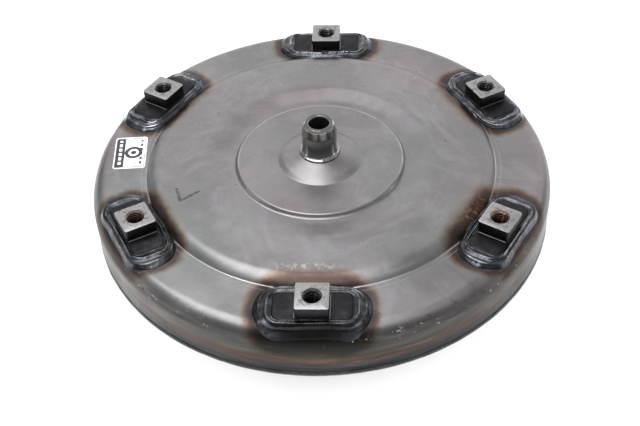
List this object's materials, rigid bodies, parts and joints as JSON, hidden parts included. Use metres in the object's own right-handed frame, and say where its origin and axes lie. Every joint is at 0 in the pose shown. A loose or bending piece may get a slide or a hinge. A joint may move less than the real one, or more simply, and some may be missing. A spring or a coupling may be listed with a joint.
{
  "type": "torque converter",
  "caption": "Torque converter with welded front cover, hollow pilot, tapped mounting lugs, finned impeller and turbine, stator, lock-up clutch and slotted pump hub.",
  "frame": {"origin": "centre of the impeller hub's end face, on the converter's axis, where it stands", "axes": "+Z along the axis towards the engine, out of the front cover's pilot; +Y lies 3.7 degrees from mounting lug 1"},
  "size_m": [0.3036, 0.3036, 0.1454],
  "materials": {
    "cover_steel": "bare pressed steel, satin and smudged",
    "shell_steel": "bare pressed steel, satin",
    "machined_steel": "turned or ground",
    "lug_steel": "dark forging skin with a machined top",
    "weld_metal": "dark rippled weld bead",
    "inner_sheet": "pressed and brazed sheet",
    "bearing_steel": "hardened and ground",
    "spring_steel": "oil-tempered wire",
    "cast_aluminium": "die cast",
    "friction_paper": "bonded paper lining",
    "bronze": "turned bronze",
    "seal_rubber": "matt"
  },
  "bodies": {
    "housing": {"front_cover": "cover_steel", "pilot_hub": "machined_steel", "mounting_lug_1": "lug_steel", "mounting_lug_2": "lug_steel", "mounting_lug_3": "lug_steel", "mounting_lug_4": "lug_steel", "mounting_lug_5": "lug_steel", "mounting_lug_6": "lug_steel", "lug_weld_1": "weld_metal", "lug_weld_2": "weld_metal", "lug_weld_3": "weld_metal", "lug_weld_4": "weld_metal", "lug_weld_5": "weld_metal", "lug_weld_6": "weld_metal", "closing_weld": "weld_metal", "impeller_shell": "shell_steel", "impeller_hub": "machined_steel", "hub_weld": "weld_metal", "balance_weight_1": "shell_steel", "balance_weight_2": "shell_steel", "impeller_blades": "inner_sheet", "rear_bearing_race": "bearing_steel"},
    "turbine": {"turbine_shell": "inner_sheet", "turbine_blades": "inner_sheet", "turbine_hub": "machined_steel", "turbine_rivet_1": "machined_steel", "turbine_rivet_2": "machined_steel", "turbine_rivet_3": "machined_steel", "turbine_rivet_4": "machined_steel", "turbine_rivet_5": "machined_steel", "turbine_rivet_6": "machined_steel", "piston_seal": "seal_rubber", "turbine_thrust_washer": "bronze", "damper_driven_plate": "inner_sheet", "front_bearing_race": "bearing_steel"},
    "damper": {"damper_drive_plate": "inner_sheet", "damper_rear_plate": "inner_sheet", "damper_pin_1": "machined_steel", "damper_pin_2": "machined_steel", "damper_pin_3": "machined_steel", "damper_pin_4": "machined_steel", "damper_spring_1": "spring_steel", "damper_spring_2": "spring_steel", "damper_spring_3": "spring_steel", "damper_spring_4": "spring_steel"},
    "lockup_piston_group": {"lockup_piston": "inner_sheet", "friction_lining": "friction_paper", "piston_drive_ring": "machined_steel"},
    "one_way_race": {"one_way_inner_race": "bearing_steel"},
    "stator": {"one_way_outer_race": "bearing_steel", "sprag_cage": "bearing_steel", "stator_rear_cap": "cast_aluminium", "stator_front_cap": "cast_aluminium", "stator_wheel": "cast_aluminium", "stator_rear_race": "bearing_steel", "stator_front_race": "bearing_steel"},
    "rear_bearing_cage": {"rear_bearing_needles": "bearing_steel"},
    "front_bearing_cage": {"front_bearing_needles": "bearing_steel"}
  },
  "joints": [
    {"name": "turbine_spin", "type": "hinge", "parent": "housing", "child": "turbine", "pos_m": [0, 0, 0.078], "axis": [0, 0, 1], "continuous": true},
    {"name": "damper_twist", "type": "hinge", "parent": "turbine", "child": "damper", "pos_m": [0, 0, 0.078], "axis": [0, 0, 1], "range_deg": [-6, 6], "stiffness_Nm_per_rad": 300, "deforming": ["damper_spring_1", "damper_spring_2", "damper_spring_3", "damper_spring_4"]},
    {"name": "lockup_slide", "type": "slide", "parent": "damper", "child": "lockup_piston_group", "axis": [0, 0, 1], "range_m": [0, 0.0008]},
    {"name": "one_way_race_spin", "type": "hinge", "parent": "housing", "child": "one_way_race", "pos_m": [0, 0, 0.078], "axis": [0, 0, 1], "continuous": true},
    {"name": "stator_freewheel", "type": "hinge", "parent": "one_way_race", "child": "stator", "pos_m": [0, 0, 0.078], "axis": [0, 0, 1], "continuous": true},
    {"name": "rear_bearing_spin", "type": "hinge", "parent": "housing", "child": "rear_bearing_cage", "pos_m": [0, 0, 0.078], "axis": [0, 0, 1], "continuous": true},
    {"name": "front_bearing_spin", "type": "hinge", "parent": "housing", "child": "front_bearing_cage", "pos_m": [0, 0, 0.078], "axis": [0, 0, 1], "continuous": true}
  ],
  "couplings": [
    {"joint": "rear_bearing_spin", "follows": "one_way_race_spin", "ratio": 0.5},
    {"joint": "front_bearing_spin", "follows": "turbine_spin", "ratio": 0.5}
  ]
}
